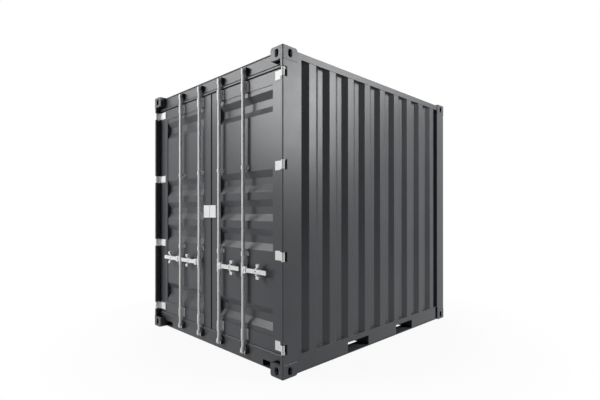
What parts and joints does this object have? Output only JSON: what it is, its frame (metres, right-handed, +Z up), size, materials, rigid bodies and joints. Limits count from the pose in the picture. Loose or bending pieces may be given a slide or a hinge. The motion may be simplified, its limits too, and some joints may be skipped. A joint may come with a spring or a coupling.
{
  "type": "shipping container",
  "caption": "Ten foot high-cube steel freight container with corrugated walls and two hinged cargo doors with locking bars.",
  "frame": {"origin": "middle of the footprint, on the ground under the corner castings", "axes": "+Z up, +Y from the door end to the front end, +X to the right when facing the doors"},
  "size_m": [2.438, 2.991, 2.896],
  "materials": {
    "steel": "semi-gloss paint",
    "door_steel": "semi-gloss paint",
    "casting": "semi-gloss paint",
    "underframe": "matte black coating",
    "galvanised": "galvanised",
    "keeper": "semi-gloss paint",
    "rubber": "matte",
    "timber": "sealed plywood"
  },
  "bodies": {
    "container": {"bottom_castings_front": "casting", "bottom_castings_rear": "casting", "bottom_side_rail_left": "steel", "bottom_side_rail_right": "steel", "cam_keepers": "keeper", "cross_members": "underframe", "door_header": "steel", "door_sill": "steel", "floor_deck": "timber", "fork_pocket_tunnels": "underframe", "front_bottom_rail": "steel", "front_post_left": "steel", "front_post_right": "steel", "front_top_rail": "steel", "front_wall": "steel", "hinge_pins": "galvanised", "rear_post_left": "steel", "rear_post_right": "steel", "roof": "steel", "side_wall_left": "steel", "side_wall_right": "steel", "top_castings_front": "casting", "top_castings_rear": "casting", "top_side_rails": "steel"},
    "left_door": {"door_leaf_left": "door_steel", "door_gasket_left": "rubber", "door_hinges_left": "galvanised", "bar_guides_left": "galvanised", "handle_catches_left": "galvanised", "lock_box_left": "galvanised", "meeting_strip": "door_steel"},
    "left_inner_bar": {"locking_bar_inner_left": "galvanised", "handle_inner_left": "galvanised"},
    "left_outer_bar": {"locking_bar_outer_left": "galvanised", "handle_outer_left": "galvanised"},
    "right_door": {"door_leaf_right": "door_steel", "door_gasket_right": "rubber", "door_hinges_right": "galvanised", "bar_guides_right": "galvanised", "handle_catches_right": "galvanised", "lock_box_right": "galvanised"},
    "right_inner_bar": {"locking_bar_inner_right": "galvanised", "handle_inner_right": "galvanised"},
    "right_outer_bar": {"locking_bar_outer_right": "galvanised", "handle_outer_right": "galvanised"}
  },
  "joints": [
    {"name": "left_door_swing", "type": "hinge", "parent": "container", "child": "left_door", "pos_m": [-1.2, -1.4765, 1.448], "axis": [0, 0, -1], "range_deg": [0, 264]},
    {"name": "right_door_swing", "type": "hinge", "parent": "container", "child": "right_door", "pos_m": [1.2, -1.4765, 1.448], "axis": [0, 0, 1], "range_deg": [0, 264]},
    {"name": "left_inner_bar_turn", "type": "hinge", "parent": "left_door", "child": "left_inner_bar", "pos_m": [-0.195, -1.4605, 1.45], "axis": [0, 0, -1], "range_deg": [-110, 0]},
    {"name": "left_outer_bar_turn", "type": "hinge", "parent": "left_door", "child": "left_outer_bar", "pos_m": [-0.612, -1.4605, 1.45], "axis": [0, 0, -1], "range_deg": [-110, 0]},
    {"name": "right_inner_bar_turn", "type": "hinge", "parent": "right_door", "child": "right_inner_bar", "pos_m": [0.195, -1.4605, 1.45], "axis": [0, 0, 1], "range_deg": [-110, 0]},
    {"name": "right_outer_bar_turn", "type": "hinge", "parent": "right_door", "child": "right_outer_bar", "pos_m": [0.612, -1.4605, 1.45], "axis": [0, 0, 1], "range_deg": [-110, 0]}
  ]
}
